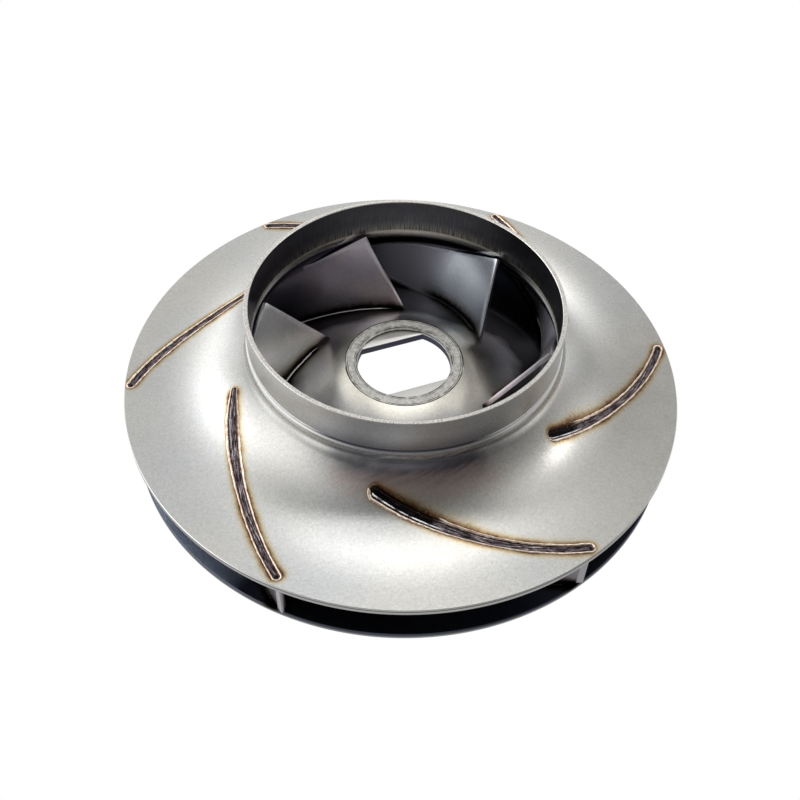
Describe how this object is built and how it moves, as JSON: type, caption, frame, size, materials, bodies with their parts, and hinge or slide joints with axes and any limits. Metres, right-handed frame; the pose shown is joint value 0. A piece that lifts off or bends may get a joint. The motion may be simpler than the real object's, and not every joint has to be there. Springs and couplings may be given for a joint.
{
  "type": "pump impeller",
  "caption": "Closed centrifugal impeller of welded steel sheet: dished front shroud with an eye ring, curved vanes, and a back shroud with a double-D shaft hole.",
  "frame": {"origin": "middle of the underside of the back shroud, on the shaft axis", "axes": "+Z along the shaft axis, from the back shroud towards the eye"},
  "size_m": [0.17, 0.17, 0.0461],
  "materials": {
    "shroud_steel": "satin, fine grained, with heat tint beside the welds",
    "ring_steel": "fine turned",
    "back_steel": "satin",
    "hub_steel": "mottled, faced",
    "vane_steel": "satin",
    "weld_metal": "rippled, oxidised purple grey"
  },
  "bodies": {
    "root": {"front_shroud": "shroud_steel", "eye_ring": "ring_steel", "back_shroud": "back_steel", "hub_land": "hub_steel", "hub_plate": "hub_steel", "vane_1": "vane_steel", "vane_2": "vane_steel", "vane_3": "vane_steel", "vane_4": "vane_steel", "vane_5": "vane_steel", "vane_6": "vane_steel", "front_weld_1": "weld_metal", "front_weld_2": "weld_metal", "front_weld_3": "weld_metal", "front_weld_4": "weld_metal", "front_weld_5": "weld_metal", "front_weld_6": "weld_metal", "back_weld_1": "weld_metal", "back_weld_2": "weld_metal", "back_weld_3": "weld_metal", "back_weld_4": "weld_metal", "back_weld_5": "weld_metal", "back_weld_6": "weld_metal"}
  },
  "joints": []
}
